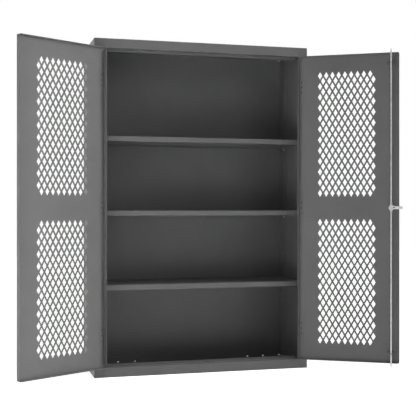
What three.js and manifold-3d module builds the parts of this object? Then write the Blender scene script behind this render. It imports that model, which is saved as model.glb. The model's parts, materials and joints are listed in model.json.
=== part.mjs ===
// Ventilated steel cabinet: a folded sheet-steel carcass, two pan doors with diamond-punched
// windows, three adjustable shelves and a three-point latch on the right door.
// Millimetres. X runs to the right, Y to the back and Z up. The origin is on the ground, in the
// middle of the carcass, and both doors stand wide open.

import * as THREE from "three";
import { mergeVertices } from "three/addons/utils/BufferGeometryUtils.js";
import Module from "manifold-3d";

const wasm = await Module();
wasm.setup();

// Carcass
const cabinetWidth = 1219.2;
const cabinetDepth = 457.2;
const cabinetHeight = 1828.8;
const sheet = 1.9;
const seam = 0.3; // joint gap between pieces that lie against each other
const overrun = 2; // how far a cutting body passes the faces it cuts
const grain = 1 / 1024; // corners lie on this grid, so that flush faces are exactly flush
const jambFace = 50.8; // front flange of a side panel
const jambReturn = 28; // its inward return, beside the door edge
const backRecess = 15.3; // the back panel's sheet lies this far inside its rim
const railFace = 50.8; // height of the header and of the sill
const railReturn = 50; // depth of the header's soffit and of the sill's ledge
const railLip = 12.7; // lip that stiffens the return
const panFlange = 12; // turned flange along each side of the floor and roof pans
const ventWidth = 9; // relief notches in the folds of the back panel
const ventHeight = 4.6;
const ventPlaceShares = [-0.6734, -0.5054, 0.6454, 0.81]; // of the back panel's half width

// Slotted uprights and shelf clips
const uprightWidth = 62;
const uprightStandoff = 5;
const uprightSheet = 1.5;
const frontUprightInset = 112; // from the cabinet's front to the middle of the upright
const rearUprightInset = 93.2; // from the cabinet's back to the middle of the upright
const slotPitch = 102;
const firstSlotHeight = 159.5;
const slotHeadroom = 120; // least height left free above the top slot
const slotWidth = 5;
const slotLength = 18;
const clipWidth = 20;
const clipThickness = 1.8;
const clipLedge = 12;
const clipLeg = 16;
const clipHookWidth = 3.2;
const clipHookHeight = 5.5;
const clipHookReach = 4;

// Shelves
const shelfHeight = 28;
const shelfReturn = 12;
const shelfFrontInset = 50.5;
const shelfRearGap = 3;
const shelfSideGap = 1.2;
const shelfSlots = [3, 7, 11]; // slot, counted from the lowest, that holds each shelf
const shelfDrop = 2.1; // the shelf's underside lies this far below the middle of its slot

// Doors
const meetingOffset = 7.2; // the doors meet this far left of the middle: the right one is wider
const doorSideGap = 1.6;
const doorEndGap = 3.2;
const doorDepth = 25.4;
const doorCorner = 8;
const reliefRadius = 9; // round relief where the upright flanges meet a corner
const doorOpening = 149.7; // degrees from closed
const cornerSegments = 3;

// Diamond windows of both doors
const columnPitch = 35.11;
const rowPitch = 60.48;
const firstColumn = 122.9; // from the hinge axis to the first column
const lastColumnInset = 120; // least distance from the last column to the door's free edge
const midBandHalf = 83.1; // from the door's middle to the first row of each window
const lastRowInset = 100; // least distance from the last row to the door's end
const diamondWidth = 24.2;
const diamondHeight = 42.4;

// Hinges
const hingeLength = 101.6;
const hingeEndInset = 174.6; // from a door's end to the middle of its outer hinges
const hingeLeafReach = 30;
const knuckleRadius = 4.8;
const knuckleCount = 3;
const knuckleGap = 0.5;
const hingePinRadius = 3;
const hingePinHeadRadius = 4.4;
const hingePinHeadHeight = 2.5;
const hingePinPlay = 0.4;
const hingePinTail = 1.5;
const axisProud = 1; // the hinge axis lies this far in front of the door faces
const notchClearance = 0.6;
const roundSides = 8;

// Latch on the right door, at its middle height
const latchEdgeInset = 43.5; // from the spindle to the door's free edge
const spindleRadius = 6;
const spindlePlay = 0.5;
const spindleTail = 6.5; // stands past the tongue's inner face
const roseRadius = 26;
const roseThickness = 4;
const housingRadius = 14;
const handleHubRadius = 17;
const handleHubLength = 23;
const handleSocket = 8;
const leverLength = 112;
const leverThickness = 9;
const leverSetback = 2; // the hub stands this far proud of the lever
const leverRootHalf = 12;
const leverTipHalf = 8.5;
const plugRadius = 8;
const plugDepth = 14;
const plugProud = 1.2;
const plugPlay = 0.3;
const keywayWidth = 2;
const keywayLength = 9;
const keywayDepth = 5;
const camPinOffset = 24; // from the spindle to each rod's pin
const camHubRadius = 12;
const camHalfWidth = 6.5;
const camThickness = 3;
const camPinPlay = 0.3;
const camRimGap = 2.9; // the cam lies this far below the rim of the door's flanges
const tongueHubRadius = 14;
const tongueLobeRadius = 10; // round lobe of the tongue that holds its screw
const tongueLobeOffset = 15.3;
const tongueLobeRise = 3.2;
const tongueHalfHeight = 7.8;
const tongueRise = 1.1; // the bar's middle lies this far above the spindle
const tongueReach = 62.2;
const tongueTipChamfer = 4;
const tongueThickness = 3;
const tongueHubProud = 1;
const tongueRimGap = 1.6; // between the tongue and the rim
const nutRadius = 8.5;
const nutHeight = 5;
const hexSides = 6;

// Rods and their guides
const rodRadius = 4.75;
const rodRimGap = 0.85; // between the rod and the rim that it passes over
const rodTipPast = 20.4; // the rod's tip stands this far past the door's end
const rodTipRadius = 2.6;
const rodTipLength = 20;
const rodPinRadius = 3.2; // turned down end that sits in the cam
const rodPinTail = 1.5;
const rodBend = 8;
const rodBendSteps = 4;
const rodSides = 10;
const guideEndInset = 54.6; // from the door's end to each guide
const guideThickness = 2.5;
const guideHalfWidth = 22;
const guideSway = 5.2; // sideways travel of the rod in its guide as the handle turns
const guideWall = 4;
const guideFootLength = 20;
const keeperRadius = 7.75;

// Derived places
const frontY = -cabinetDepth / 2;
const backY = cabinetDepth / 2;
const halfWidth = cabinetWidth / 2;
const wallX = halfWidth - sheet;
const panX = wallX - seam;
const jambX = halfWidth - jambFace;
const railX = jambX - seam;
const backSheetY = backY - sheet - backRecess;
const panRearY = backSheetY - seam;
const midHeight = cabinetHeight / 2;
const uprightFaceX = wallX - uprightStandoff;
const hingeX = jambX - doorSideGap / 2;
const hingeY = frontY - axisProud;
const doorEdge = doorSideGap / 2; // distance from the hinge axis to the door's hinged edge
const meanDoorWidth = jambX - 2 * doorSideGap;
const activeDoorWidth = meanDoorWidth + meetingOffset;
const passiveDoorWidth = meanDoorWidth - meetingOffset;
const doorHalf = midHeight - railFace - doorEndGap;
const doorBottom = midHeight - doorHalf;
const doorTop = midHeight + doorHalf;
const rimPlane = axisProud + doorDepth; // rim of a closed door's flanges, from the hinge axis
const leafNear = axisProud + sheet + seam;
const knuckleClear = knuckleRadius + notchClearance;
const hingeSpacing = doorHalf - hingeEndInset;
const hingeHeights = [midHeight - hingeSpacing, midHeight, midHeight + hingeSpacing];
const hingePlaces = ["bottom", "middle", "top"];
const lastColumn = doorEdge + passiveDoorWidth - lastColumnInset;
const lastRow = doorHalf - lastRowInset;
const latchSetback = doorEdge + activeDoorWidth - latchEdgeInset;
const tongueNear = rimPlane + tongueRimGap;
const tongueFar = tongueNear + tongueThickness;
const rodAxisY = rimPlane + rodRimGap + rodRadius;
const rodReach = doorHalf + rodTipPast; // from the latch's middle to the rod's tip
const camFar = rimPlane - camRimGap;
const camNear = camFar - camThickness;
const housingFar = camNear - seam;
const handleBack = axisProud - roseThickness - 2 * seam;
const handleFront = handleBack - handleHubLength;

const axisX = new THREE.Vector3(1, 0, 0);
const axisY = new THREE.Vector3(0, 1, 0);
const axisZ = new THREE.Vector3(0, 0, 1);

// Solids

function solidOf(geometry) {
  const bare = geometry.clone();
  bare.deleteAttribute("normal");
  bare.deleteAttribute("uv");
  const places = bare.attributes.position.array;
  places.forEach((value, i) => {
    places[i] = Math.round(value / grain) * grain;
  });
  const merged = mergeVertices(bare);
  const vertProperties = merged.attributes.position.array;
  const triVerts = new Uint32Array(merged.index.array);
  return new wasm.Manifold(new wasm.Mesh({ numProp: 3, vertProperties, triVerts }));
}

function geometryOf(shape) {
  const mesh = shape.getMesh();
  const geometry = new THREE.BufferGeometry();
  const places = new THREE.BufferAttribute(new Float32Array(mesh.vertProperties), 3);
  geometry.setAttribute("position", places);
  geometry.setIndex(new THREE.BufferAttribute(new Uint32Array(mesh.triVerts), 1));
  geometry.computeVertexNormals();
  return geometry;
}

// Joins the bodies and takes the cuts away from them.
function solid(bodies, cuts = []) {
  const joined = bodies.map(solidOf).reduce((sum, body) => sum.add(body));
  return cuts.map(solidOf).reduce((rest, cut) => rest.subtract(cut), joined);
}

function formed(bodies, cuts = []) {
  return geometryOf(solid(bodies, cuts));
}

// A block between two opposite corners, given in any order.
function block(xa, xb, ya, yb, za, zb) {
  const geometry = new THREE.BoxGeometry(Math.abs(xb - xa), Math.abs(yb - ya), Math.abs(zb - za));
  return geometry.translate((xa + xb) / 2, (ya + yb) / 2, (za + zb) / 2);
}

// Round bars along Y and Z.
function barY(radius, ya, yb, x, z, sides = roundSides) {
  const geometry = new THREE.CylinderGeometry(radius, radius, Math.abs(yb - ya), sides);
  return geometry.translate(x, (ya + yb) / 2, z);
}

function barZ(radius, za, zb, x, y, sides = roundSides) {
  const geometry = new THREE.CylinderGeometry(radius, radius, Math.abs(zb - za), sides);
  return geometry.rotateX(Math.PI / 2).translate(x, y, (za + zb) / 2);
}

// An outline extruded along one axis: (y, z) outlines along X, (x, z) along Y and (x, y) along Z.
const sectionBasis = new THREE.Matrix4().makeBasis(axisY, axisZ, axisX);
const faceBasis = new THREE.Matrix4().makeBasis(axisX, axisZ, axisY.clone().negate());

function extrusion(shape, depth, curveSegments = cornerSegments) {
  return new THREE.ExtrudeGeometry(shape, { depth, bevelEnabled: false, curveSegments });
}

function runX(shape, xa, xb) {
  return extrusion(shape, xb - xa).applyMatrix4(sectionBasis).translate(xa, 0, 0);
}

function runY(shape, ya, yb) {
  return extrusion(shape, yb - ya).applyMatrix4(faceBasis).translate(0, yb, 0);
}

function runZ(shape, za, zb, segments) {
  return extrusion(shape, zb - za, segments).translate(0, 0, za);
}

function polygon(points) {
  return new THREE.Shape(points.map(([a, b]) => new THREE.Vector2(a, b)));
}

// The section of a folded sheet. The corners follow its outer face, and the metal lies to their
// left, or to their right where the thickness is negative.
function folded(corners, thickness) {
  const outer = corners.map(([a, b]) => new THREE.Vector2(a, b));
  const lefts = [];
  for (let i = 1; i < outer.length; i += 1) {
    const along = outer[i].clone().sub(outer[i - 1]).normalize();
    lefts.push(new THREE.Vector2(-along.y, along.x));
  }
  const inner = outer.map((corner, i) => {
    const before = lefts[Math.max(i - 1, 0)];
    const after = lefts[Math.min(i, lefts.length - 1)];
    const mitre = before.clone().add(after);
    return corner.clone().addScaledVector(mitre, thickness / (1 + before.dot(after)));
  });
  return new THREE.Shape([...outer, ...inner.reverse()]);
}

function roundedRectangle(xa, xb, za, zb, radius) {
  const [left, right] = [Math.min(xa, xb), Math.max(xa, xb)];
  const quarter = Math.PI / 2;
  const shape = new THREE.Shape();
  shape.absarc(right - radius, za + radius, radius, -quarter, 0);
  shape.absarc(right - radius, zb - radius, radius, 0, quarter);
  shape.absarc(left + radius, zb - radius, radius, quarter, Math.PI);
  shape.absarc(left + radius, za + radius, radius, Math.PI, Math.PI + quarter);
  return shape;
}

// Finishes

function finish(color, roughness, metalness) {
  return new THREE.MeshStandardMaterial({ color, roughness, metalness });
}

const greyPaint = finish(0x6b6d6e, 0.45, 0.1);
const brightZinc = finish(0xb4b6b8, 0.35, 0.9);
const polishedChrome = finish(0xd2d4d6, 0.15, 1);

const cabinet = new THREE.Group();

function addPiece(group, name, geometry, material) {
  const mesh = new THREE.Mesh(geometry, material);
  mesh.name = name;
  group.add(mesh);
  return mesh;
}

// Carcass

// A folded side panel: jamb return, jamb face and wall, notched for the hinges.
function sidePanel(side) {
  const corners = [
    [side * jambX, frontY + jambReturn],
    [side * jambX, frontY],
    [side * halfWidth, frontY],
    [side * halfWidth, backY],
  ];
  const panel = runZ(folded(corners, side * sheet), 0, cabinetHeight);
  const notches = hingeHeights.map((height) => hingeNotch(side, 1, height, side * hingeX, hingeY));
  const endCuts = [-1, 1].map((end) => returnEndCut(side, end));
  return formed([panel], [...notches, ...endCuts]);
}

// The jamb's return stops short of the floor and the roof, which pass over its ends.
function returnEndCut(side, end) {
  const tip = midHeight + (end * cabinetHeight) / 2;
  return block(
    side * (jambX - overrun),
    side * (jambX + sheet + overrun),
    frontY + sheet,
    frontY + jambReturn + overrun,
    tip - end * (sheet + seam),
    tip + end * overrun,
  );
}

// The corner cut from a jamb (outward 1) or a door (outward -1) for a hinge's knuckles and leaf.
function hingeNotch(side, outward, height, x, y) {
  const half = hingeLength / 2 + hingePinHeadHeight + seam + notchClearance;
  const reach = side * outward * knuckleClear;
  return block(
    x,
    x + reach,
    y - overrun,
    y + knuckleClear,
    height - half,
    height + half,
  );
}

// The floor (direction 1) or the roof (direction -1): one sheet, with a flange turned into the
// cabinet along each side wall.
function levelPan(direction) {
  const outer = direction > 0 ? 0 : cabinetHeight;
  const edge = outer + direction * panFlange;
  const slab = block(-panX, panX, frontY + sheet + seam, panRearY, outer, edge);
  const hollow = block(
    sheet - panX,
    panX - sheet,
    frontY - overrun,
    backY + overrun,
    outer + direction * sheet,
    edge + direction * overrun,
  );
  return formed([slab], [hollow]);
}

// A shallow pan whose rim turns to the rear between the side panels. Its folds are relieved by
// small notches, which let light through at the foot and in the corners.
function backPanel() {
  const body = block(-panX, panX, backSheetY, backY, 0, cabinetHeight);
  const hollow = block(
    sheet - panX,
    panX - sheet,
    backSheetY + sheet,
    backY + overrun,
    sheet,
    cabinetHeight - sheet,
  );
  const half = ventWidth / 2;
  const corner = panX - sheet - ventWidth;
  const low = sheet + seam;
  const places = ventPlaceShares.map((share) => share * panX);
  const foot = [-corner, ...places, corner].map((x) => [x, low, low + ventHeight]);
  const head = cabinetHeight - low;
  const top = [-corner, corner].map((x) => [x, head - ventHeight, head]);
  const notches = [...foot, ...top].map(([x, za, zb]) =>
    block(x - half, x + half, backSheetY - overrun, backSheetY + sheet + overrun, za, zb),
  );
  return formed([body], [hollow, ...notches]);
}

// Header or sill: a face between the jambs, a return and a lip, with the rod's keeper hole.
// direction is 1 for the sill, which rises from the ground, and -1 for the header.
function rail(direction) {
  const base = direction > 0 ? 0 : cabinetHeight;
  const shelfZ = base + direction * railFace;
  const corners = [
    [frontY, base],
    [frontY, shelfZ],
    [frontY + railReturn, shelfZ],
    [frontY + railReturn, shelfZ + direction * railLip],
  ];
  const body = runX(folded(corners, -direction * sheet), -railX, railX);
  const keeperX = hingeX - latchSetback;
  const keeperY = hingeY + rodAxisY;
  const keeper = barZ(keeperRadius, shelfZ - railLip, shelfZ + railLip, keeperX, keeperY);
  return formed([body], [keeper]);
}

addPiece(cabinet, "left_side_panel", sidePanel(-1), greyPaint);
addPiece(cabinet, "right_side_panel", sidePanel(1), greyPaint);
addPiece(cabinet, "back_panel", backPanel(), greyPaint);
addPiece(cabinet, "roof_pan", levelPan(-1), greyPaint);
addPiece(cabinet, "floor_pan", levelPan(1), greyPaint);
addPiece(cabinet, "header_rail", rail(-1), greyPaint);
addPiece(cabinet, "sill_rail", rail(1), greyPaint);

// Uprights, clips and shelves

const slotHeights = [];
for (let z = firstSlotHeight; z <= cabinetHeight - slotHeadroom; z += slotPitch) {
  slotHeights.push(z);
}
const shelfNames = ["lower_shelf", "middle_shelf", "upper_shelf"];
const shelfUndersides = shelfSlots.map((slot) => slotHeights[slot] - shelfDrop);
const uprightRows = [
  ["front", frontY + frontUprightInset],
  ["rear", backY - rearUprightInset],
];
const sides = [
  ["left", -1],
  ["right", 1],
];

// A channel against the side wall, its web punched with a slot for every shelf height.
function slottedUpright(side, y) {
  const half = uprightWidth / 2;
  const root = side * (wallX - seam);
  const face = side * uprightFaceX;
  const corners = [
    [root, y - half],
    [face, y - half],
    [face, y + half],
    [root, y + half],
  ];
  const base = panFlange + seam;
  const top = cabinetHeight - panFlange - seam;
  const channel = runZ(folded(corners, side * -uprightSheet), base, top);
  const slots = slotHeights.map((height) =>
    block(
      face - side * overrun,
      face + side * (uprightSheet + overrun),
      y - slotWidth / 2,
      y + slotWidth / 2,
      height - slotLength / 2,
      height + slotLength / 2,
    ),
  );
  return formed([channel], slots);
}

// An angle clip: its hook passes through the upright's slot and its ledge carries the shelf.
function shelfClip(side, y, underside) {
  const back = side * (uprightFaceX - seam);
  const front = back - side * clipThickness;
  const top = underside - seam;
  const section = polygon([
    [back, top],
    [front - side * clipLedge, top],
    [front - side * clipLedge, top - clipThickness],
    [front, top - clipThickness],
    [front, top - clipLeg],
    [back, top - clipLeg],
  ]);
  const angle = runY(section, y - clipWidth / 2, y + clipWidth / 2);
  const hook = block(
    (front + back) / 2,
    back + side * clipHookReach,
    y - clipHookWidth / 2,
    y + clipHookWidth / 2,
    top - clipHookHeight,
    top - clipThickness / 2,
  );
  return formed([angle, hook]);
}

// A shelf pan, open below, with its edges turned under all round.
function shelf(underside) {
  const layer = (inset, za, zb) => {
    const reach = uprightFaceX - shelfSideGap - inset;
    const front = frontY + shelfFrontInset + inset;
    const rear = backSheetY - shelfRearGap - inset;
    return block(-reach, reach, front, rear, underside + za, underside + zb);
  };
  const pocket = layer(sheet, sheet, shelfHeight - sheet);
  const mouth = layer(shelfReturn, -overrun, sheet + overrun);
  return formed([layer(0, 0, shelfHeight)], [pocket, mouth]);
}

for (const [sideName, side] of sides) {
  for (const [rowName, y] of uprightRows) {
    const name = sideName + "_" + rowName;
    addPiece(cabinet, name + "_upright", slottedUpright(side, y), greyPaint);
    shelfUndersides.forEach((underside, i) => {
      const clipName = name + "_clip_" + (i + 1);
      addPiece(cabinet, clipName, shelfClip(side, y, underside), brightZinc);
    });
  }
}
shelfUndersides.forEach((underside, i) => {
  addPiece(cabinet, shelfNames[i], shelf(underside), greyPaint);
});

// Doors
// Each door is drawn closed, from its hinge axis, in a group that is turned open about that axis.
// side is -1 for the left door, hinged on the left, and 1 for the right door.

function diamond(x, z) {
  return polygon([
    [x + diamondWidth / 2, z],
    [x, z + diamondHeight / 2],
    [x - diamondWidth / 2, z],
    [x, z - diamondHeight / 2],
  ]);
}

// One window, above (direction 1) or below the middle band. Whole rows alternate with rows that
// stand half a pitch across and half a pitch up, so that the metal left between the diamonds is an
// even diagonal web.
function windowDiamonds(side, direction) {
  const holes = [];
  for (let column = firstColumn; column <= lastColumn; column += columnPitch) {
    const between = column + columnPitch / 2;
    for (let row = midBandHalf; row <= lastRow; row += rowPitch) {
      holes.push(diamond(-side * column, midHeight + direction * row));
      if (row + rowPitch <= lastRow) {
        holes.push(diamond(-side * between, midHeight + direction * (row + rowPitch / 2)));
      }
    }
  }
  return holes;
}

function doorOutline(side, width, inset) {
  const xa = -side * (doorEdge + inset);
  const xb = -side * (doorEdge + width - inset);
  const radius = Math.max(doorCorner - inset, sheet / 2);
  return roundedRectangle(xa, xb, doorBottom + inset, doorTop - inset, radius);
}

// A pan door: a flat face with a flange turned in all round it.
function doorPan(side, width, extraCuts) {
  const windows = [-1, 1].map((direction) =>
    runY(windowDiamonds(side, direction), axisProud - overrun, axisProud + sheet + overrun),
  );
  const layer = (inset, ya, yb) => runY(doorOutline(side, width, inset), ya, yb);
  const slab = layer(0, axisProud, rimPlane);
  const pocket = layer(sheet, axisProud + sheet, rimPlane + overrun);
  const notches = hingeHeights.map((height) => hingeNotch(side, -1, height, 0, 0));
  const reliefs = cornerReliefs(side, width);
  return formed([slab], [pocket, ...notches, ...reliefs, ...extraCuts, ...windows]);
}

function cornerReliefs(side, width) {
  const reliefs = [];
  const y = axisProud + doorDepth / 2;
  const drop = sheet + reliefRadius + seam;
  for (const z of [doorBottom + drop, doorTop - drop]) {
    for (const edge of [doorEdge, doorEdge + width]) {
      const hole = new THREE.CylinderGeometry(reliefRadius, reliefRadius, 2 * doorCorner, roundSides);
      reliefs.push(hole.rotateZ(Math.PI / 2).translate(-side * edge, y, z));
    }
  }
  return reliefs;
}

// Section of half a hinge about its axis: a barrel with a leaf that leaves it at a tangent.
function hingeSection(outward) {
  const quarter = Math.PI / 2;
  const root = Math.asin(leafNear / knuckleRadius);
  const end = outward > 0 ? 4 * quarter + root : -2 * quarter - root;
  const section = new THREE.Shape();
  section.absarc(0, 0, knuckleRadius, quarter, end, outward < 0);
  section.lineTo(outward * hingeLeafReach, leafNear);
  section.lineTo(outward * hingeLeafReach, knuckleRadius);
  section.closePath();
  return section;
}

// Half a hinge: every second knuckle, from first on, is its own, and the rest make room.
function hingeHalf(outward, first) {
  const half = hingeLength / 2;
  const pitch = hingeLength / knuckleCount;
  const cuts = [barZ(hingePinRadius + hingePinPlay, -half - overrun, half + overrun, 0, 0)];
  for (let place = 1 - first; place < knuckleCount; place += 2) {
    const low = place > 0 ? place * pitch - knuckleGap / 2 : -overrun;
    const high = place < knuckleCount - 1 ? (place + 1) * pitch + knuckleGap / 2 : hingeLength + overrun;
    const near = -outward * (knuckleRadius + overrun);
    const side = knuckleRadius + overrun;
    cuts.push(block(near, outward * knuckleClear, -side, side, low - half, high - half));
  }
  return formed([runZ(hingeSection(outward), -half, half, roundSides / 2)], cuts);
}

function hingePin() {
  const half = hingeLength / 2;
  const profile = [
    [0, -half - hingePinTail],
    [hingePinRadius, -half - hingePinTail],
    [hingePinRadius, half + seam],
    [hingePinHeadRadius, half + seam],
    [hingePinHeadRadius, half + seam + hingePinHeadHeight],
    [0, half + seam + hingePinHeadHeight],
  ];
  const points = profile.map(([r, z]) => new THREE.Vector2(r, z));
  return new THREE.LatheGeometry(points, roundSides).rotateX(Math.PI / 2);
}

function doorGroup(side) {
  const group = new THREE.Group();
  group.position.set(side * hingeX, hingeY, 0);
  group.rotation.z = THREE.MathUtils.degToRad(side * doorOpening);
  cabinet.add(group);
  return group;
}

function addHinges(sideName, side, group) {
  hingePlaces.forEach((place, i) => {
    const name = sideName + "_" + place + "_hinge";
    const frameLeaf = addPiece(cabinet, name + "_frame_leaf", hingeHalf(side, 0), greyPaint);
    frameLeaf.position.set(side * hingeX, hingeY, hingeHeights[i]);
    const pin = addPiece(cabinet, name + "_pin", hingePin(), brightZinc);
    pin.position.copy(frameLeaf.position);
    const doorLeaf = addPiece(group, name + "_door_leaf", hingeHalf(-side, 1), greyPaint);
    doorLeaf.position.z = hingeHeights[i];
  });
}

const leftDoor = doorGroup(-1);
const rightDoor = doorGroup(1);
const spindleHole = barY(spindleRadius + spindlePlay, 0, doorDepth, -latchSetback, midHeight);
addPiece(leftDoor, "left_door_pan", doorPan(-1, passiveDoorWidth, []), greyPaint);
addPiece(rightDoor, "right_door_pan", doorPan(1, activeDoorWidth, [spindleHole]), greyPaint);
addHinges("left", -1, leftDoor);
addHinges("right", 1, rightDoor);

// Latch
// Drawn from the spindle's axis, with the door closed: -X points to the door's free edge and +Y
// into the cabinet. The rods are drawn out and the tongue lies level, as when locked.

const latch = new THREE.Group();
latch.position.set(-latchSetback, 0, midHeight);
rightDoor.add(latch);

const bore = (ya, yb) => barY(spindleRadius + spindlePlay, ya, yb, 0, 0);

function rose() {
  const outer = axisProud - seam;
  const inner = outer - roseThickness;
  return formed([barY(roseRadius, inner, outer, 0, 0, 2 * roundSides)], [
    bore(inner - overrun, outer + overrun),
  ]);
}

function latchHousing() {
  const inner = leafNear;
  return formed([barY(housingRadius, inner, housingFar, 0, 0, 2 * roundSides)], [
    bore(inner - overrun, housingFar + overrun),
  ]);
}

// The lever hangs from the hub and tapers to a round tip.
function handle() {
  const lever = new THREE.Shape();
  lever.moveTo(leverRootHalf, 0);
  lever.lineTo(-leverRootHalf, 0);
  lever.lineTo(-leverTipHalf, leverTipHalf - leverLength);
  lever.absarc(0, leverTipHalf - leverLength, leverTipHalf, Math.PI, 2 * Math.PI);
  lever.closePath();
  const hub = barY(handleHubRadius, handleFront, handleBack, 0, 0, 2 * roundSides);
  const leverFront = handleFront + leverSetback;
  const bar = runY(lever, leverFront, leverFront + leverThickness);
  const plugSeat = barY(
    plugRadius + plugPlay,
    handleFront - overrun,
    handleFront + plugDepth + plugPlay,
    0,
    0,
  );
  const socket = bore(handleBack - handleSocket, handleBack + overrun);
  return formed([hub, bar], [plugSeat, socket]);
}

function lockPlug() {
  const front = handleFront - plugProud;
  const plug = barY(plugRadius - plugPlay, front, handleFront + plugDepth, 0, 0);
  const half = keywayWidth / 2;
  const length = keywayLength / 2;
  const keyway = block(-half, half, front - overrun, front + keywayDepth, -length, length);
  return formed([plug], [keyway]);
}

function spindle() {
  const outer = handleBack - handleSocket + seam;
  return barY(spindleRadius, outer, tongueFar + spindleTail, 0, 0);
}

// The cam is a plate with a round middle and two arms, each with a hole for a rod's pin.
function latchCam() {
  const half = Math.PI;
  const neck = Math.acos(camHalfWidth / camHubRadius);
  const outline = new THREE.Shape();
  outline.absarc(0, camPinOffset, camHalfWidth, 0, half);
  outline.absarc(0, 0, camHubRadius, half - neck, half + neck);
  outline.absarc(0, -camPinOffset, camHalfWidth, half, 2 * half);
  outline.absarc(0, 0, camHubRadius, -neck, neck);
  outline.closePath();
  const pinHoles = [-1, 1].map((end) => {
    const z = end * camPinOffset;
    return barY(rodPinRadius + camPinPlay, camNear - overrun, camFar + overrun, 0, z);
  });
  const spindleBore = bore(camNear - overrun, camFar + overrun);
  return formed([runY(outline, camNear, camFar)], [spindleBore, ...pinHoles]);
}

// The tongue is a bar on a round hub, with a lobe on its upper edge and a chamfered tip.
function latchTongue() {
  const hub = barY(tongueHubRadius, camFar + seam, tongueFar + tongueHubProud, 0, 0, 2 * roundSides);
  const top = tongueRise + tongueHalfHeight;
  const foot = tongueRise - tongueHalfHeight;
  const rise = Math.asin((top - tongueLobeRise) / tongueLobeRadius);
  const outline = new THREE.Shape();
  outline.moveTo(0, top);
  outline.absarc(-tongueLobeOffset, tongueLobeRise, tongueLobeRadius, rise, Math.PI - rise);
  outline.lineTo(tongueTipChamfer - tongueReach, top);
  outline.lineTo(-tongueReach, top - tongueTipChamfer);
  outline.lineTo(-tongueReach, foot + tongueTipChamfer);
  outline.lineTo(tongueTipChamfer - tongueReach, foot);
  outline.lineTo(0, foot);
  outline.closePath();
  const blade = runY(outline, tongueNear, tongueFar);
  return formed([hub, blade], [bore(camFar - overrun, tongueFar + nutHeight)]);
}

function spindleNut() {
  const near = tongueFar + tongueHubProud + seam;
  const far = near + nutHeight;
  return formed([barY(nutRadius, near, far, 0, 0, hexSides)], [bore(near - overrun, far + overrun)]);
}

// A round bar through rings of corners. Each station is a place in the YZ plane, the angle of the
// bar's axis there, from Y towards Z, and the bar's radius.
function roundBar(stations, sides) {
  const places = [];
  const corners = [];
  stations.forEach(([y, z, angle, radius], ring) => {
    for (let i = 0; i < sides; i += 1) {
      const turn = (2 * Math.PI * i) / sides;
      const rise = radius * Math.sin(turn);
      places.push(radius * Math.cos(turn), y - rise * Math.sin(angle), z + rise * Math.cos(angle));
      const next = (i + 1) % sides;
      const [a, b] = [ring * sides + i, ring * sides + next];
      if (ring < stations.length - 1) {
        corners.push(a, b + sides, b, a, a + sides, b + sides);
      }
    }
  });
  const last = (stations.length - 1) * sides;
  for (let i = 2; i < sides; i += 1) {
    corners.push(0, i - 1, i, last, last + i, last + i - 1);
  }
  const geometry = new THREE.BufferGeometry();
  geometry.setAttribute("position", new THREE.Float32BufferAttribute(places, 3));
  geometry.setIndex(corners);
  return geometry;
}

// A rod with a bent end, whose turned down pin sits in the cam, and a tapered tip. It is drawn for
// the upper side and turned over for the lower one.
function latchRod(direction) {
  const quarter = Math.PI / 2;
  const stations = [
    [camNear - rodPinTail, camPinOffset, 0, rodPinRadius],
    [rodAxisY - rodBend, camPinOffset, 0, rodPinRadius],
  ];
  for (let step = 0; step <= rodBendSteps; step += 1) {
    const angle = (quarter * step) / rodBendSteps;
    const y = rodAxisY - rodBend * (1 - Math.sin(angle));
    const z = camPinOffset + rodBend * (1 - Math.cos(angle));
    stations.push([y, z, angle, rodRadius]);
  }
  stations.push([rodAxisY, rodReach - rodTipLength, quarter, rodRadius]);
  stations.push([rodAxisY, rodReach, quarter, rodTipRadius]);
  const rod = roundBar(stations, rodSides);
  return formed([rod.rotateY(direction > 0 ? 0 : Math.PI)]);
}

// A bracket for the rod: a foot on the door's face and a plate with a slot round the rod.
function rodGuide(direction) {
  const z = direction * (doorHalf - guideEndInset);
  const slotFar = rodAxisY + rodRadius + rodRimGap;
  const corners = [
    [leafNear, z - direction * guideFootLength],
    [leafNear, z],
    [slotFar + guideWall, z],
  ];
  const section = folded(corners, -direction * guideThickness);
  const angle = runX(section, -guideHalfWidth, guideHalfWidth);
  const slotHalf = rodRadius + guideSway;
  const slotReach = guideThickness + overrun;
  const slot = block(-slotHalf, slotHalf, rimPlane, slotFar, z - slotReach, z + slotReach);
  return formed([angle], [slot]);
}

addPiece(latch, "handle_rose", rose(), polishedChrome);
addPiece(latch, "latch_housing", latchHousing(), brightZinc);
addPiece(latch, "door_handle", handle(), polishedChrome);
addPiece(latch, "lock_plug", lockPlug(), polishedChrome);
addPiece(latch, "latch_spindle", spindle(), brightZinc);
addPiece(latch, "latch_cam", latchCam(), brightZinc);
addPiece(latch, "latch_tongue", latchTongue(), brightZinc);
addPiece(latch, "spindle_nut", spindleNut(), brightZinc);
addPiece(latch, "upper_rod", latchRod(1), brightZinc);
addPiece(latch, "lower_rod", latchRod(-1), brightZinc);
addPiece(latch, "upper_rod_guide", rodGuide(1), greyPaint);
addPiece(latch, "lower_rod_guide", rodGuide(-1), greyPaint);

export default cabinet;
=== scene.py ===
# %% [markdown]
# # A ventilated steel cabinet
# The real object is a storage cabinet of folded sheet steel with a grey powder coat. Its two pan
# doors have windows of punched diamonds and stand wide open. The construction, with every size and
# joint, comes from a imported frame. Here each piece gets the surface and the fine shape that the
# eye expects: rounded folds, eased edges, paint, plating and small fasteners.

# %% Load the frame
import json
import math

import bmesh
import bpy
from mathutils import Matrix, Vector


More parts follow.
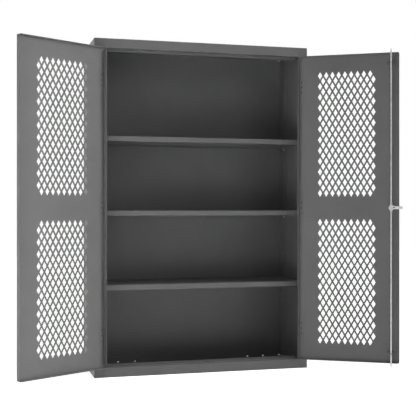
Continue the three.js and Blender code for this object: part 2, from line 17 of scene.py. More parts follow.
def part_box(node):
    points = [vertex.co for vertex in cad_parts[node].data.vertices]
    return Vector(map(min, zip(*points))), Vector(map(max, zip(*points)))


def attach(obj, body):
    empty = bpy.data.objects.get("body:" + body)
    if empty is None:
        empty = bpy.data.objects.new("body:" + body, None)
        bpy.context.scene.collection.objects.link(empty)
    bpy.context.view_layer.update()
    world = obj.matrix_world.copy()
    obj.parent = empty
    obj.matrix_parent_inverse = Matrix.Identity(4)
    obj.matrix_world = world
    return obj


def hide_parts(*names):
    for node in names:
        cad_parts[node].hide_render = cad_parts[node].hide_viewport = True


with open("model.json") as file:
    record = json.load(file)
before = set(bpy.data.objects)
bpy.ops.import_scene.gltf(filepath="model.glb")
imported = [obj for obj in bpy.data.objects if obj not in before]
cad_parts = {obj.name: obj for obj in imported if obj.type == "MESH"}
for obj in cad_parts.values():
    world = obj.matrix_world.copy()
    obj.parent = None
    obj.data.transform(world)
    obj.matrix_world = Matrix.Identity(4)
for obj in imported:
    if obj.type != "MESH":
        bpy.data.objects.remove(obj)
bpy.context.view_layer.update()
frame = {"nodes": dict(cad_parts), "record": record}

MM = 0.001
nodes = frame["nodes"]
body_of_node = {
    node: body
    for body, members in frame["record"]["behaviour"]["bodies"].items()
    for node in members
}
print(len(nodes), "pieces in the frame")

# %% [markdown]
# ## The camera
# The photograph was taken from the left, level with the middle of the cabinet. A pinhole camera was
# fitted to the edges of the carcass and of both doors, so its place, heading and lens are known in
# real sizes. A lens is enough to match the view: the picture is square, and the sensor is the
# usual 36 mm, so the focal length in pixels turns straight into millimetres.

# %% Place the camera
PICTURE_WIDTH = 416
SENSOR_WIDTH = 36.0
FOCAL_PIXELS = 886.1
HEADING = 15.132  # degrees to the right of straight on
CAMERA_PLACE = (-1.262, -4.9796, 0.9122)
SHIFT = (-0.0002, 0.0007)  # the picture's middle against the lens axis

camera_data = bpy.data.cameras.new("camera")
camera_data.sensor_width = SENSOR_WIDTH
camera_data.lens = FOCAL_PIXELS * SENSOR_WIDTH / PICTURE_WIDTH
camera_data.shift_x, camera_data.shift_y = SHIFT
camera = bpy.data.objects.new("camera", camera_data)
camera.location = CAMERA_PLACE
camera.rotation_euler = (math.radians(90), 0, math.radians(-HEADING))
bpy.context.scene.collection.objects.link(camera)
bpy.context.scene.camera = camera
bpy.context.scene.view_settings.view_transform = "Standard"
print("lens", round(camera_data.lens, 2), "mm")

# %% [markdown]
# ## Colours and nodes
# Colours are written as the hex values that an eye reads off a screen. Blender mixes light in
# linear values, so one function turns the hex value into those. A second small function adds a
# shader node with its settings and its links, which keeps every material below short.

# %% Helpers for materials
def linear(hex_colour):
    """Turns an sRGB hex colour into linear red, green, blue and alpha."""
    values = [int(hex_colour[i : i + 2], 16) / 255 for i in (1, 3, 5)]
    bent = [v / 12.92 if v <= 0.04045 else ((v + 0.055) / 1.055) ** 2.4 for v in values]
    return (*bent, 1.0)


def add_node(tree, kind, settings=None, values=None, links=None):
    """Adds a node, sets its properties and input values, and links its inputs to other outputs."""
    node = tree.nodes.new(kind)
    for name, setting in (settings or {}).items():
        setattr(node, name, setting)
    for name, value in (values or {}).items():
        node.inputs[name].default_value = value
    for name, source in (links or {}).items():
        tree.links.new(source, node.inputs[name])
    return node


def new_material(name):
    """An empty material and its node tree."""
    material = bpy.data.materials.new(name)
    material.use_nodes = True
    material.node_tree.nodes.clear()
    return material, material.node_tree


def per_metre(millimetres):
    """The scale of a pattern whose repeat has this real size."""
    return 1 / (millimetres * MM)


# %% [markdown]
# ## Grey powder coat
# Powder coat is dry paint that is baked until it flows. It sets to a satin film with a fine orange
# peel: low bumps about 2 mm apart. The film is a little thicker here and thinner there, which shows
# as a faint change of tone over a hand's width. A pixel covers about 5 mm of the cabinet, so the
# peel is drawn 3 mm wide and low, and it mostly softens the highlights. The paint is made in the
# shader, because a real peel in the mesh would cost millions of faces for the same soft gleam.

# %% Make the powder coat
CLOUD_MM = 160  # a hand's width
SPECK_MM = 4
SPECK_SHARE = 0.35
PEEL_MM = 3
PEEL_DEPTH = 0.05 * MM


def powder_coat(name, colour, shade):
    """Satin paint whose tone drifts between a colour and its shade."""
    material, tree = new_material(name)
    place = add_node(tree, "ShaderNodeTexCoord")
    cloud = add_node(
        tree,
        "ShaderNodeTexNoise",
        values={"Scale": per_metre(CLOUD_MM), "Detail": 3.0, "Roughness": 0.5},
        links={"Vector": place.outputs["Object"]},
    )
    speck = add_node(
        tree,
        "ShaderNodeTexNoise",
        values={"Scale": per_metre(SPECK_MM), "Detail": 2.0, "Roughness": 0.6},
        links={"Vector": place.outputs["Object"]},
    )
    tone = add_node(
        tree,
        "ShaderNodeMath",
        {"operation": "MULTIPLY_ADD"},
        values={1: SPECK_SHARE},
        links={0: speck.outputs["Fac"], 2: cloud.outputs["Fac"]},
    )
    ramp = add_node(tree, "ShaderNodeValToRGB", links={"Fac": tone.outputs[0]})
    ramp.color_ramp.elements[0].position = 0.45
    ramp.color_ramp.elements[0].color = linear(shade)
    ramp.color_ramp.elements[1].position = 0.9
    ramp.color_ramp.elements[1].color = linear(colour)
    satin = add_node(
        tree,
        "ShaderNodeMapRange",
        values={"To Min": 0.4, "To Max": 0.5},
        links={"Value": speck.outputs["Fac"]},
    )
    peel = add_node(
        tree,
        "ShaderNodeTexNoise",
        values={"Scale": per_metre(PEEL_MM), "Detail": 1.5, "Roughness": 0.5},
        links={"Vector": place.outputs["Object"]},
    )
    bump = add_node(
        tree,
        "ShaderNodeBump",
        values={"Strength": 0.12, "Distance": PEEL_DEPTH},
        links={"Height": peel.outputs["Fac"]},
    )
    coat = add_node(
        tree,
        "ShaderNodeBsdfPrincipled",
        links={
            "Base Color": ramp.outputs["Color"],
            "Roughness": satin.outputs["Result"],
            "Normal": bump.outputs["Normal"],
        },
    )
    add_node(tree, "ShaderNodeOutputMaterial", links={"Surface": coat.outputs["BSDF"]})
    return material


grey_powder_coat = powder_coat("grey_powder_coat", "#747474", "#6e6e6e")
print("made", grey_powder_coat.name)

# %% [markdown]
# ## Zinc and chrome plate
# The rods, the tongue, the cam, the clips and the hinge pins are steel with a bright zinc plate.
# Zinc plate shows soft blotches, and drawn wire keeps fine lines along its length, so the zinc's
# grain is noise that is stretched along Z, the way the rods stand. The lever, its rose and the lock
# plug are chromed, which is smoother and brighter. One function makes both, because only the
# numbers differ.

# %% Make the plated metals
BLOTCH_MM = 14
GRAIN_DEPTH = 0.02 * MM


def plated_steel(name, colour, shade, smoothest, roughest, grain_mm, stretch):
    """Plated metal whose roughness lies between two values and whose grain has a real size."""
    material, tree = new_material(name)
    place = add_node(tree, "ShaderNodeTexCoord")
    drawn = add_node(
        tree,
        "ShaderNodeMapping",
        values={"Scale": (1, 1, 1 / stretch)},
        links={"Vector": place.outputs["Object"]},
    )
    grain = add_node(
        tree,
        "ShaderNodeTexNoise",
        values={"Scale": per_metre(grain_mm), "Detail": 3.0, "Roughness": 0.6},
        links={"Vector": drawn.outputs["Vector"]},
    )
    blotch = add_node(
        tree,
        "ShaderNodeTexNoise",
        values={"Scale": per_metre(BLOTCH_MM), "Detail": 2.0},
        links={"Vector": place.outputs["Object"]},
    )
    ramp = add_node(tree, "ShaderNodeValToRGB", links={"Fac": blotch.outputs["Fac"]})
    ramp.color_ramp.elements[0].position = 0.3
    ramp.color_ramp.elements[0].color = linear(shade)
    ramp.color_ramp.elements[1].position = 0.7
    ramp.color_ramp.elements[1].color = linear(colour)
    polish = add_node(
        tree,
        "ShaderNodeMapRange",
        values={"To Min": smoothest, "To Max": roughest},
        links={"Value": grain.outputs["Fac"]},
    )
    bump = add_node(
        tree,
        "ShaderNodeBump",
        values={"Strength": 0.15, "Distance": GRAIN_DEPTH},
        links={"Height": grain.outputs["Fac"]},
    )
    metal = add_node(
        tree,
        "ShaderNodeBsdfPrincipled",
        values={"Metallic": 1.0},
        links={
            "Base Color": ramp.outputs["Color"],
            "Roughness": polish.outputs["Result"],
            "Normal": bump.outputs["Normal"],
        },
    )
    add_node(tree, "ShaderNodeOutputMaterial", links={"Surface": metal.outputs["BSDF"]})
    return material


zinc_plate = plated_steel("zinc_plate", "#c6c6c6", "#ababab", 0.28, 0.42, 1.2, 12)
chrome_plate = plated_steel("chrome_plate", "#dedede", "#d4d4d4", 0.08, 0.14, 2.0, 1)
finishes = {
    "grey_powder_coat": grey_powder_coat,
    "zinc_plate": zinc_plate,
    "chrome_plate": chrome_plate,
}
slot_of_node = {row["node"]: row["material_slot"] for row in frame["record"]["subparts"]}
for node, cad_object in nodes.items():
    cad_object.data.materials.clear()
    cad_object.data.materials.append(finishes[slot_of_node[node]])
print("made", zinc_plate.name, "and", chrome_plate.name)

# %% [markdown]
# ## Folded sheet with rounded folds
# A press brake never folds a sheet to a sharp corner: the inside of a fold has a radius near the
# sheet's own thickness, and the outside has that radius plus the thickness. The frame's solids are
# sharp, so each sheet piece is copied, its flat triangles are joined, and its folds are bevelled
# with those two radii. Where a relief hole or a notch stands at the end of a fold, the bevel is
# held back so that it can't run over the hole. A punched hole gets a tiny chamfer round its rim,
# where the paint has softened the edge. Modelling the sheet afresh would work too, but this way
# every slot, notch and diamond stays where the frame has it.
#
# Wide faces are shaded flat, as sheet is. Only the narrow strips of a round are shaded smoothly.

# %% Round the folds of a sheet piece
SHEET = 1.9 * MM
FOLD_INSIDE = 1.2 * MM
FOLD_OUTSIDE = FOLD_INSIDE + SHEET
EASED_RIM = 0.35 * MM
CUT_FACE = 2.6 * MM  # a face narrower than this is a cut edge of the sheet
ROUND_STRIP = 1.5 * MM  # a face narrower than this belongs to a round
SHARP = math.radians(40)  # the least angle of a fold or a cut edge
SHADING_BREAK = math.radians(35)  # the least angle of an edge that looks crisp


def face_width(face):
    """The face's area over its longest edge, which is the width of a strip."""
    return face.calc_area() / max(edge.calc_length() for edge in face.edges)


def sharp_edges(work, convex, least=SHARP):
    """Edges that bend outwards (convex) or inwards by more than the least angle."""
    return [
        edge
        for edge in work.edges
        if len(edge.link_faces) == 2
        and edge.is_convex == convex
        and edge.calc_face_angle() > least
    ]


def folds(work, convex):
    """Sharp edges between two wide faces."""
    return [
        edge
        for edge in sharp_edges(work, convex)
        if all(face_width(face) > CUT_FACE for face in edge.link_faces)
    ]


def cut_edges(work):
    """Sharp outward edges that run along a narrow cut face."""
    return [
        edge
        for edge in sharp_edges(work, True)
        if any(face_width(face) < CUT_FACE for face in edge.link_faces)
    ]


def hole_rims(work):
    """Cut edges of closed rims that touch no fold: round a diamond, a slot or a hole."""
    rims = set(cut_edges(work))
    reached = {corner for edge in folds(work, True) + folds(work, False) for corner in edge.verts}
    while True:
        touched = {edge for edge in rims if reached & set(edge.verts)}
        if not touched:
            return [edge for edge in work.edges if edge in rims]
        rims -= touched
        reached |= {corner for edge in touched for corner in edge.verts}


def bevel(work, edges, radius, segments):
    """Rounds the edges, and holds the radius back where it would run over something."""
    if edges:
        bmesh.ops.bevel(
            work,
            geom=edges,
            offset=radius,
            offset_type="OFFSET",
            segments=segments,
            profile=0.5,
            affect="EDGES",
            clamp_overlap=True,
        )


def finish_mesh(work, name, material, body, replaced=(), flat_above=None):
    """Turns the worked mesh into a piece that rides on its body.

    Faces wider than flat_above stay flat, and the strips of a round are shaded smoothly.
    """
    bmesh.ops.recalc_face_normals(work, faces=work.faces)
    smooth = [flat_above is None or face_width(face) < flat_above for face in work.faces]
    mesh = bpy.data.meshes.new(name)
    work.to_mesh(mesh)
    work.free()
    mesh.set_sharp_from_angle(angle=SHADING_BREAK)
    mesh.polygons.foreach_set("use_smooth", smooth)
    mesh.materials.append(material)
    piece = bpy.data.objects.new(name, mesh)
    bpy.context.scene.collection.objects.link(piece)
    if flat_above is None:
        weighted = piece.modifiers.new("even_shading", "WEIGHTED_NORMAL")
        weighted.keep_sharp = True
    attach(piece, body)
    if replaced:
        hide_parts(*replaced)
    return piece


def join_flat(work):
    """Joins corners on one spot, and then triangles that lie in one plane."""
    bmesh.ops.remove_doubles(work, verts=work.verts, dist=0.002 * MM)
    bmesh.ops.dissolve_limit(
        work, angle_limit=math.radians(0.5), verts=work.verts, edges=work.edges
    )


def copied(node):
    """A copy of a node's mesh with its flat triangles joined."""
    work = bmesh.new()
    work.from_mesh(nodes[node].data)
    join_flat(work)
    return work


def sheet_piece(node, outside=FOLD_OUTSIDE, inside=FOLD_INSIDE):
    """A copy of a sheet node with rounded folds and eased holes."""
    work = copied(node)
    if node != "back_panel":  # its notches end in the folds, and stay as they are
        bevel(work, hole_rims(work), EASED_RIM, 1)
    bevel(work, folds(work, True), outside, 4)
    bevel(work, folds(work, False), inside, 3)
    slot = slot_of_node[node]
    name = "painted_" + node
    piece = finish_mesh(work, name, finishes[slot], body_of_node[node], [node], ROUND_STRIP)
    return piece


CARCASS = ["left_side_panel", "right_side_panel", "back_panel", "roof_pan", "floor_pan"]
CARCASS += ["header_rail", "sill_rail"]
SHELVES = ["lower_shelf", "middle_shelf", "upper_shelf"]
DOORS = ["left_door_pan", "right_door_pan"]
UPRIGHTS = [node for node in nodes if node.endswith("upright")]
for node in CARCASS + SHELVES + DOORS:
    made = sheet_piece(node)
    print(made.name, len(made.data.polygons), "faces")
UPRIGHT_OUTSIDE, UPRIGHT_INSIDE = 1.1 * MM, 0.3 * MM
for node in UPRIGHTS:  # narrow strip, folded nearly sharp in a die
    made = sheet_piece(node, UPRIGHT_OUTSIDE, UPRIGHT_INSIDE)
    print(made.name, len(made.data.polygons), "faces")

# %% [markdown]
# ## Builders for the small hardware
# The latch and the hinges are not folded sheet. Pins, hubs and the lock plug are turned, so they
# are drawn as a profile that is spun round an axis. The cam, the tongue and the lever's blade are
# stamped or cast flat, so they are drawn as an outline with a thickness. Holes and slots are then
# cut out with booleans, as a drill or a punch would, and last the edges are eased, the way tumbling
# and plating leave them. Drawing each piece by its real steps keeps every hole on its real axis.

# %% Turn, stamp, combine and ease
def walls(work, low, high):
    """Faces between two rings of corners. A ring of one corner is a point on the axis."""
    for i in range(max(len(low), len(high))):
        after = i + 1
        corners = [
            low[i % len(low)],
            low[after % len(low)],
            high[after % len(high)],
            high[i % len(high)],
        ]
        work.faces.new(list(dict.fromkeys(corners)))


def turned(profile, sides=48):
    """A solid spun round the Y axis from (radius, y) pairs in millimetres."""
    work = bmesh.new()
    rings = []
    for radius, y in profile:
        turns = [2 * math.pi * i / sides for i in range(sides if radius > 0 else 1)]
        places = [(radius * math.cos(t) * MM, y * MM, radius * math.sin(t) * MM) for t in turns]
        rings.append([work.verts.new(place) for place in places])
    for low, high in zip(rings, rings[1:]):
        walls(work, low, high)
    if profile[0][0] > 0:
        walls(work, rings[-1], rings[0])
    bmesh.ops.recalc_face_normals(work, faces=work.faces)
    return work


def stamped(outline, near, far):
    """A plate with an outline of (x, z) pairs between two Y planes, in millimetres."""
    work = bmesh.new()
    rings = [
        [work.verts.new((x * MM, y * MM, z * MM)) for x, z in outline] for y in (near, far)
    ]
    work.faces.new(rings[0])
    work.faces.new(rings[1])
    walls(work, *rings)
    bmesh.ops.recalc_face_normals(work, faces=work.faces)
    return work


def arc(x, z, radius, start, end, steps=24):
    """Points on an arc between two angles in degrees."""
    angles = [math.radians(start + (end - start) * i / steps) for i in range(steps + 1)]
    return [(x + radius * math.cos(a), z + radius * math.sin(a)) for a in angles]


def holder(work):
    """A passing object round a mesh, because a boolean modifier works on objects."""
    mesh = bpy.data.meshes.new("working")
    work.to_mesh(mesh)
    work.free()
    carrier = bpy.data.objects.new("working", mesh)
    bpy.context.scene.collection.objects.link(carrier)
    return carrier


def combined(work, others, operation="DIFFERENCE"):
    """Cuts the others out of the solid, or joins them to it."""
    base = holder(work)
    tools = [holder(other) for other in others]
    for tool in tools:
        step = base.modifiers.new("step", "BOOLEAN")
        step.operation = operation
        step.solver = "EXACT"
        step.object = tool
    graph = bpy.context.evaluated_depsgraph_get()
    result = bmesh.new()
    result.from_mesh(base.evaluated_get(graph).data)
    for carrier in [base, *tools]:
        bpy.data.objects.remove(carrier)
    return result


def eased(work, radius, segments=2):
    """Rounds every sharp outward edge by the same small radius, in millimetres."""
    join_flat(work)
    bevel(work, sharp_edges(work, True, SHADING_BREAK), radius * MM, segments)
    return work


def hardware(node, work, place):
    """Sets a finished piece in its place and lets it stand for its node."""
    work.transform(place)
    slot = slot_of_node[node]
    piece = finish_mesh(work, "shaped_" + node, finishes[slot], body_of_node[node], [node])
    return piece


def fitting(name, work, place, body, material):
    """A small extra piece, such as a screw, that has no node of its own."""
    work.transform(place)
    piece = finish_mesh(work, name, material, body)
    return piece


joints = {row["name"]: row for row in frame["record"]["behaviour"]["joints"]}


def door_axes(side, origin):
    """The axes of a door, turned open about its hinge. They put +Y on the door's inner side."""
    low, high = joints[side + "_door_hinge"]["range_deg"]
    angle = -low if side == "right" else -high
    turn = Matrix.Rotation(math.radians(angle), 4, "Z")
    return Matrix.Translation(joints[origin]["pos_m"]) @ turn


latch = door_axes("right", "handle_turn")
print("latch at", [round(value, 4) for value in latch.translation])

# %% [markdown]
# ## The three-point latch
# The lever outside turns a spindle. Inside the door the spindle carries a cam with a rod hooked
# into each end, and a tongue that reaches past the door's edge. All of it is zinc plated steel,
# because paint would scrape off. It is drawn in the latch's own axes, in millimetres, and one
# matrix then carries it to the open door: -X points to the door's free edge, +Y into the cabinet,
# and the origin is on the spindle. The main sizes below are the frame's, so that each piece stands
# where its own solid stands.

# %% The cam, the tongue and what holds them
CLEAR = 60  # a cut that starts and ends this far out goes clean through any piece
SPINDLE_BORE = 6.5
HUB_RADIUS = 14  # of the tongue's hub and of the housing
HUB_NEAR, HUB_FAR = 23.8, 32
CAM_NEAR, CAM_FAR = 20.5, 23.5
CAM_HUB = 12  # radius
CAM_ARM = 6.5  # half the width of an arm
TONGUE_NEAR, TONGUE_FAR = 28.0, 31.0
TONGUE_LOBE = (-15.3, 3.2)  # the round lobe that takes the screw
TONGUE_END = -58.2
TONGUE_CORNER = 4
ROD_PIN_PLACE = 24.0
ROD_PIN_HOLE = 3.5
ROD_AXIS = 32.0
NUT_RADIUS = 8.5
NUT_NEAR, NUT_FAR = 32.3, 37.3


def drill(radius, sides=48):
    """A long pin along Y that cuts a round hole."""
    return turned([(0, -CLEAR), (radius, -CLEAR), (radius, CLEAR), (0, CLEAR)], sides)


def bored(work, radius, z=0.0):
    """Drills a hole along Y, clean through."""
    bit = drill(radius)
    bit.transform(Matrix.Translation((0, 0, z * MM)))
    return combined(work, [bit])


def tongue_outline():
    """A bar with a lobe on its upper edge and two round corners at its free end."""
    upper, lower = 8.9, -6.7
    points = arc(*TONGUE_LOBE, 10, 35.2, 144.8) + [(-58.4, upper)]
    points += arc(TONGUE_END, upper - TONGUE_CORNER, TONGUE_CORNER, 90, 180, 5)[1:]
    points += arc(TONGUE_END, lower + TONGUE_CORNER, TONGUE_CORNER, 180, 270, 5)
    return points + [(0, lower), (0, upper)]


neck = math.degrees(math.acos(CAM_ARM / CAM_HUB))  # where an arm meets the hub
cam_outline = arc(0, ROD_PIN_PLACE, CAM_ARM, 0, 180)
cam_outline += arc(0, 0, CAM_HUB, 180 - neck, 180 + neck)
cam_outline += arc(0, -ROD_PIN_PLACE, CAM_ARM, 180, 360)
cam_outline += arc(0, 0, CAM_HUB, -neck, neck)
cam = bored(stamped(cam_outline, CAM_NEAR, CAM_FAR), SPINDLE_BORE)
for end in (-1, 1):
    cam = bored(cam, ROD_PIN_HOLE, end * ROD_PIN_PLACE)
hardware("latch_cam", eased(cam, 0.3), latch)

hub_sides = [(0, HUB_NEAR), (HUB_RADIUS, HUB_NEAR), (HUB_RADIUS, HUB_FAR), (0, HUB_FAR)]
hub = turned(hub_sides, 64)
tongue = combined(hub, [stamped(tongue_outline(), TONGUE_NEAR, TONGUE_FAR)], "UNION")
hardware("latch_tongue", eased(bored(tongue, SPINDLE_BORE), 0.6, 3), latch)

hexagon = arc(0, 0, NUT_RADIUS, 30, 330, 5)
nut = stamped(hexagon, NUT_NEAR, NUT_FAR)
hardware("spindle_nut", eased(bored(nut, SPINDLE_BORE), 0.3), latch)
spindle = [(0, -11.3), (5.4, -11.3), (6, -10.7), (6, 36.7), (5.2, 37.5), (0, 37.5)]
hardware("latch_spindle", turned(spindle), latch)
housing = [(SPINDLE_BORE, 3.2), (HUB_RADIUS, 3.2), (HUB_RADIUS, 19.4), (13.2, 20.2)]
hardware("latch_housing", turned([*housing, (SPINDLE_BORE, 20.2)], 64), latch)
print("cam, tongue, nut, spindle and housing made")

# %% [markdown]
# ## The rods
# The rods are drawn wire with a bend at the inner end. The bent end is turned down to a pin that
# sits in the cam's hole, and the outer end is tapered so that it finds its hole in the header or
# the sill. A curve with a bevel could draw the bend, but the step down to the pin would come out
# soft, so the bar is a row of rings, each with its own radius and lean.

# %% Bend the rods
def bent_bar(stations, sides=32):
    """A round bar through stations: y, z, the lean of its axis from Y towards Z, and radius."""
    work = bmesh.new()
    rings = []
    for y, z, lean, radius in stations:
        ring = []
        for i in range(sides):
            turn = 2 * math.pi * i / sides
            rise = radius * math.sin(turn)
            place = (radius * math.cos(turn), y - rise * math.sin(lean), z + rise * math.cos(lean))
            ring.append(work.verts.new(Vector(place) * MM))
        rings.append(ring)
    for low, high in zip(rings, rings[1:]):
        walls(work, low, high)
    work.faces.new(rings[0])
    work.faces.new(rings[-1])
    return work


ROD_PIN_END = 19.0
ROD_SHOULDER = 24.0  # where the pin meets the full rod
BEND = 8.0  # radius
BEND_STEPS = 12
ROD_RADIUS = 4.75
ROD_PIN_RADIUS = 3.2
ROD_TIP = 880.8
TAPER = 20
quarter = math.pi / 2
rod_stations = [
    (ROD_PIN_END, ROD_PIN_PLACE, 0, ROD_PIN_RADIUS - 0.4),
    (ROD_PIN_END + 0.4, ROD_PIN_PLACE, 0, ROD_PIN_RADIUS),
    (ROD_SHOULDER, ROD_PIN_PLACE, 0, ROD_PIN_RADIUS),
    (ROD_SHOULDER, ROD_PIN_PLACE, 0, ROD_RADIUS - 0.45),
    (ROD_SHOULDER + 0.4, ROD_PIN_PLACE, 0, ROD_RADIUS),
]
for step in range(1, BEND_STEPS + 1):
    lean = quarter * step / BEND_STEPS
    y = ROD_AXIS - BEND * (1 - math.sin(lean))
    rod_stations.append((y, ROD_PIN_PLACE + BEND * (1 - math.cos(lean)), lean, ROD_RADIUS))
rod_stations += [
    (ROD_AXIS, ROD_TIP - TAPER, quarter, ROD_RADIUS),
    (ROD_AXIS, ROD_TIP - 1.2, quarter, 2.6),
    (ROD_AXIS, ROD_TIP, quarter, 1.8),
]
hardware("upper_rod", bent_bar(rod_stations), latch)
hardware("lower_rod", bent_bar(rod_stations), latch @ Matrix.Rotation(math.pi, 4, "Y"))
print("two rods bent")

# %% [markdown]
# ## The lever
# The lever is a chromed casting: a round hub and a flat blade that tapers to a round tip, with soft
# edges for the hand. The lock plug sits in the middle of the hub and has a keyway across its face.
# The rose covers the hole in the door. The blade is rounded before it meets the hub, so that the
# hub's crisp rim stays as it was turned.

# %% The lever, the rose and the lock
SEAT_RADIUS = 8.3  # of the hole in the hub that takes the lock plug
SEAT_FLOOR = -12.3
SEAT_RIM = -26.2
LEVER_TIP = -103.5
LEVER_NEAR, LEVER_FAR = -24.6, -15.6
LEVER_EASE = 3.0
TIP_RADIUS = 8.5
ROOT_RADIUS = 12
hub_profile = [
    (0, SEAT_FLOOR),
    (SEAT_RADIUS, SEAT_FLOOR),
    (SEAT_RADIUS, SEAT_RIM),
    (8.7, -26.6),
    (15.4, -26.6),
    (16.5, -26.1),
    (17, -25.0),
    (17, -4.4),
    (16.2, -3.6),
    (SPINDLE_BORE, -3.6),
    (SPINDLE_BORE, -11.6),
    (0, -11.6),
]
lever_outline = arc(0, LEVER_TIP, TIP_RADIUS, 180, 360) + arc(0, 0, ROOT_RADIUS, 0, 180)
lever = eased(stamped(lever_outline, LEVER_NEAR, LEVER_FAR), LEVER_EASE, 5)
seat = [(0, -30), (SEAT_RADIUS, -30), (SEAT_RADIUS, SEAT_FLOOR), (0, SEAT_FLOOR)]
hollow = combined(lever, [turned(seat, 64)])
hardware("door_handle", combined(turned(hub_profile, 64), [hollow], "UNION"), latch)

rose = [(SPINDLE_BORE, 0.7), (26, 0.7), (26, -1.3)]
rose += arc(24, -1.3, 2, 0, -90, 6)[1:] + [(SPINDLE_BORE, -3.3)]
hardware("handle_rose", turned(rose, 96), latch)

plug = turned([(0, -12.6), (7.7, -12.6), (7.7, -27.2), (7.1, -27.8), (0, -27.8)], 64)
keyway = stamped([(-1, -4.5), (1, -4.5), (1, 4.5), (-1, 4.5)], -30, -22.8)
hardware("lock_plug", combined(plug, [keyway]), latch)
print("lever, rose and lock made")

# %% [markdown]
# ## The hinges
# Each hinge has two stamped leaves whose edges are rolled into knuckles round a pin. The knuckles
# of one leaf sit between those of the other with half a millimetre to spare. The leaves are painted
# with the cabinet, and the pin is plated, with a round head. A leaf and its roll have one section
# along the whole hinge, so that section is drawn once, and the gaps for the other leaf's knuckles
# are cut out of it.

# %% Roll the hinges
LEAF_NEAR = 3.2
LEAF_REACH = 30.0
KNUCKLE_RADIUS = 4.8
KNUCKLE_GAP = 0.5
HINGE_HALF = 50.8  # half the length of a leaf
PIN_BORE = 3.4
PIN_HEAD = 1.3  # how much further the pin reaches at its head than at its foot
TOWARDS_DOOR = {"left": 1, "right": -1}  # which way along X a door runs from its hinge
upright_turn = Matrix.Rotation(-quarter, 4, "X")  # stands a piece drawn along Y up, with -Y on top


def hinge_half(outward, own_middle):
    """One leaf with the middle knuckle, or with the two outer ones."""
    root = math.degrees(math.asin(LEAF_NEAR / KNUCKLE_RADIUS))  # where roll and leaf meet
    outline = arc(0, 0, KNUCKLE_RADIUS, 90, 360 + root, 40)
    outline += [(LEAF_REACH, LEAF_NEAR), (LEAF_REACH, KNUCKLE_RADIUS)]
    cuts = [drill(PIN_BORE, 32)]
    edge = HINGE_HALF / 3
    slack = KNUCKLE_GAP / 2
    if own_middle:
        spans = [(-CLEAR, slack - edge), (edge - slack, CLEAR)]
    else:
        spans = [(-slack - edge, edge + slack)]
    for low, high in spans:
        cuts.append(stamped([(-7, -7), (5.4, -7), (5.4, 7), (-7, 7)], low, high))
    work = combined(stamped(outline, -HINGE_HALF, HINGE_HALF), cuts)
    work.transform(Matrix.Diagonal((outward, 1, 1, 1)) @ upright_turn)
    bmesh.ops.recalc_face_normals(work, faces=work.faces)
    return eased(work, 0.25, 1)


def pin():
    """A round pin with a domed head at its upper end, which is drawn at -Y."""
    head = [(4.4, -51.1), (4.4, -52.2)] + arc(2.9, -52.2, 1.4, 0, -90, 5)[1:]
    profile = [(0, 52.3), (2.4, 52.3), (3, 51.7), (3, -51.1), *head, (0, -53.6)]
    work = turned(profile, 32)
    work.transform(upright_turn)
    return work


hinge_heights = {}
for side, toward in TOWARDS_DOOR.items():
    frame_axes = Matrix.Translation(joints[side + "_door_hinge"]["pos_m"])
    door = door_axes(side, side + "_door_hinge")
    for level in ("bottom", "middle", "top"):
        name = side + "_" + level + "_hinge_"
        low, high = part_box(name + "pin")
        middle = (low[2] + high[2]) / 2 - PIN_HEAD / 2 * MM
        hinge_heights[level] = middle - frame_axes.translation.z
        rise = Matrix.Translation((0, 0, hinge_heights[level]))
        hardware(name + "frame_leaf", hinge_half(-toward, False), frame_axes @ rise)
        hardware(name + "pin", pin(), frame_axes @ rise)
        hardware(name + "door_leaf", hinge_half(toward, True), door @ rise)
print("hinges at", [round(height, 4) for height in hinge_heights.values()])

# %% [markdown]
# ## Clips, guides and screws
# The shelf clips and the rod guides are small folded pieces of strip. The clips are tumbled and
# plated, so all their edges are eased, and the guides get the same treatment as the sheet. The
# fasteners are too small for the frame and are added here: three blackened screws with low round
# heads in each hinge leaf on the doors, and one in the tongue's lobe.

# %% Clips and guides
CLIPS = [node for node in nodes if "_clip_" in node]
for node in CLIPS:
    hardware(node, eased(copied(node), 0.3), Matrix())
for node in ("upper_rod_guide", "lower_rod_guide"):
    sheet_piece(node)
print(len(CLIPS), "clips and two guides eased")

# %% Screws
blackened_steel = plated_steel("blackened_steel", "#3b3b3b", "#2d2d2d", 0.35, 0.5, 1.0, 1)


def screw(radius, height):
    """A low round head on the plane Y = 0 with a cross recess."""
    dome = [(0, height), (0.55 * radius, 0.92 * height), (0.85 * radius, 0.6 * height)]
    head = turned([(0, -0.1), (radius, -0.1), (radius, 0.1), *reversed(dome)], 32)
    arm, reach, bottom = 0.13 * radius, 0.6 * radius, 0.25 * height
    bars = [
        stamped([(-a, -b), (a, -b), (a, b), (-a, b)], bottom, height + 1)
        for a, b in ((arm, reach), (reach, arm))
    ]
    return combined(head, bars)


HINGE_SCREW = (3.4, 0.9)  # radius and height of the head
TONGUE_SCREW = (4.2, 1.8)
SCREW_REACH = 18  # from the hinge's axis
SCREW_PITCH = 30
for side, toward in TOWARDS_DOOR.items():
    door = door_axes(side, side + "_door_hinge")
    for level, height in hinge_heights.items():
        for row in (-SCREW_PITCH, 0, SCREW_PITCH):
            spot = (toward * SCREW_REACH * MM, KNUCKLE_RADIUS * MM, height + row * MM)
            place = door @ Matrix.Translation(spot)
            name = side + "_" + level + "_hinge_screw_" + str(row + SCREW_PITCH)
            work = screw(*HINGE_SCREW)
            fitting(name, work, place, side + "_door", blackened_steel)
x, z = TONGUE_LOBE
place = latch @ Matrix.Translation((x * MM, TONGUE_FAR * MM, z * MM))
fitting("tongue_screw", screw(*TONGUE_SCREW), place, "handle", blackened_steel)
print("screws set")

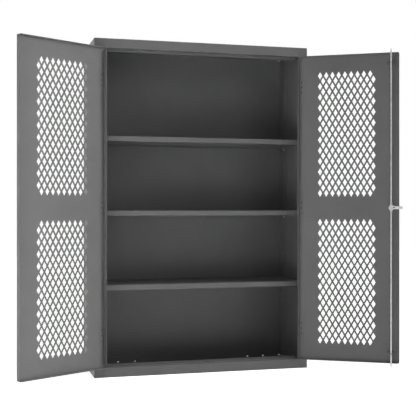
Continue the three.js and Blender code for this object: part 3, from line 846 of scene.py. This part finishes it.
# %% [markdown]
# ## The room
# The photograph has a plain white ground, but the cabinet was lit like a thing in a room. Soft
# boxes overhead light the floor in front, and that light comes back up: the undersides inside the
# cabinet are brighter than the tops, and each compartment gets darker towards its shelf. The walls
# of the room add soft light from the sides, which is written here as a short table of lobes: where
# each one stands, how wide it is and how strong. The strengths were fitted until the greys on the
# cabinet came close to the photograph's.
#
# The camera and the reflections see plain white instead, so the ground is white and bright metal
# mirrors it. The floor glows for them too, and its own paint still takes the light and the shadow.

# %% Light the room
# azimuth (0 is straight in front, 90 to the right), elevation, half width in degrees, strength
LOBES = [
    (-60, 5, 35, 0.78),
    (75, 5, 35, 3.97),
    (80, 35, 35, 1.05),
]
# place, size in metres, spread in degrees, watts
OVERHEAD_BOXES = {
    "left_box": ((-2.6, -2.2, 4.5), 2.4, 40, 113),
    "near_box": ((0.0, -1.2, 4.5), 2.0, 40, 11),
    "far_box": ((-1.2, -4.4, 4.5), 3.0, 40, 19),
}
FLOOR_GLOW = 0.88
FLOOR_HALF = 12  # metres


def seen_directly(tree):
    """1 for the camera, reflections and glass, and 0 for the light that falls on things."""
    ray = add_node(tree, "ShaderNodeLightPath")
    total = ray.outputs["Is Camera Ray"]
    for kind in ("Is Glossy Ray", "Is Transmission Ray"):
        step = add_node(
            tree,
            "ShaderNodeMath",
            {"operation": "MAXIMUM"},
            links={0: total, 1: ray.outputs[kind]},
        )
        total = step.outputs[0]
    return total


def lobe_direction(azimuth, elevation):
    """The way from the cabinet to the middle of a lobe."""
    across, up = math.radians(azimuth), math.radians(elevation)
    return (math.sin(across) * math.cos(up), -math.cos(across) * math.cos(up), math.sin(up))


def white_world():
    """The lobes for the light, and plain white for whatever looks at the world."""
    world = bpy.data.worlds.new("white_room")
    bpy.context.scene.world = world
    world.use_nodes = True
    tree = world.node_tree
    tree.nodes.clear()
    place = add_node(tree, "ShaderNodeTexCoord")
    total = None
    for azimuth, elevation, half_width, strength in LOBES:
        toward = add_node(
            tree,
            "ShaderNodeVectorMath",
            {"operation": "DOT_PRODUCT"},
            values={1: lobe_direction(azimuth, elevation)},
            links={0: place.outputs["Generated"]},
        )
        edge = math.cos(math.radians(half_width))
        lobe = add_node(
            tree,
            "ShaderNodeMapRange",
            {"interpolation_type": "SMOOTHSTEP"},
            values={"From Min": edge, "From Max": 1.0, "To Max": strength},
            links={"Value": toward.outputs["Value"]},
        )
        if total is None:
            total = lobe.outputs["Result"]
            continue
        step = add_node(
            tree,
            "ShaderNodeMath",
            {"operation": "ADD"},
            links={0: lobe.outputs["Result"], 1: total},
        )
        total = step.outputs[0]
    room = add_node(
        tree, "ShaderNodeBackground", values={"Color": (1, 1, 1, 1)}, links={"Strength": total}
    )
    white = add_node(
        tree, "ShaderNodeBackground", values={"Color": (1, 1, 1, 1), "Strength": 1.0}
    )
    mix = add_node(
        tree,
        "ShaderNodeMixShader",
        links={
            0: seen_directly(tree),
            1: room.outputs["Background"],
            2: white.outputs["Background"],
        },
    )
    add_node(tree, "ShaderNodeOutputWorld", links={"Surface": mix.outputs["Shader"]})


def soft_box(name, place, size, spread, watts):
    """A square lamp that looks straight down."""
    light = bpy.data.lights.new(name, "AREA")
    light.shape = "SQUARE"
    light.size = size
    light.spread = math.radians(spread)
    light.energy = watts
    lamp = bpy.data.objects.new(name, light)
    lamp.location = place
    bpy.context.scene.collection.objects.link(lamp)


def white_floor():
    """Pale paint that also glows for whatever looks at it."""
    work = bmesh.new()
    bmesh.ops.create_grid(work, x_segments=1, y_segments=1, size=FLOOR_HALF)
    mesh = bpy.data.meshes.new("floor")
    work.to_mesh(mesh)
    work.free()
    floor = bpy.data.objects.new("floor", mesh)
    floor.location.z = -0.2 * MM
    bpy.context.scene.collection.objects.link(floor)
    material, tree = new_material("white_floor")
    paint = add_node(tree, "ShaderNodeBsdfDiffuse", values={"Color": linear("#f0f0f0")})
    strength = add_node(
        tree,
        "ShaderNodeMath",
        {"operation": "MULTIPLY"},
        values={1: FLOOR_GLOW},
        links={0: seen_directly(tree)},
    )
    glow = add_node(
        tree,
        "ShaderNodeEmission",
        values={"Color": (1, 1, 1, 1)},
        links={"Strength": strength.outputs[0]},
    )
    both = add_node(
        tree,
        "ShaderNodeAddShader",
        links={0: paint.outputs["BSDF"], 1: glow.outputs["Emission"]},
    )
    add_node(tree, "ShaderNodeOutputMaterial", links={"Surface": both.outputs["Shader"]})
    mesh.materials.append(material)


white_world()
for name, (place, size, spread, watts) in OVERHEAD_BOXES.items():
    soft_box(name, place, size, spread, watts)
white_floor()
print("room ready, with", len(LOBES), "lobes of light")
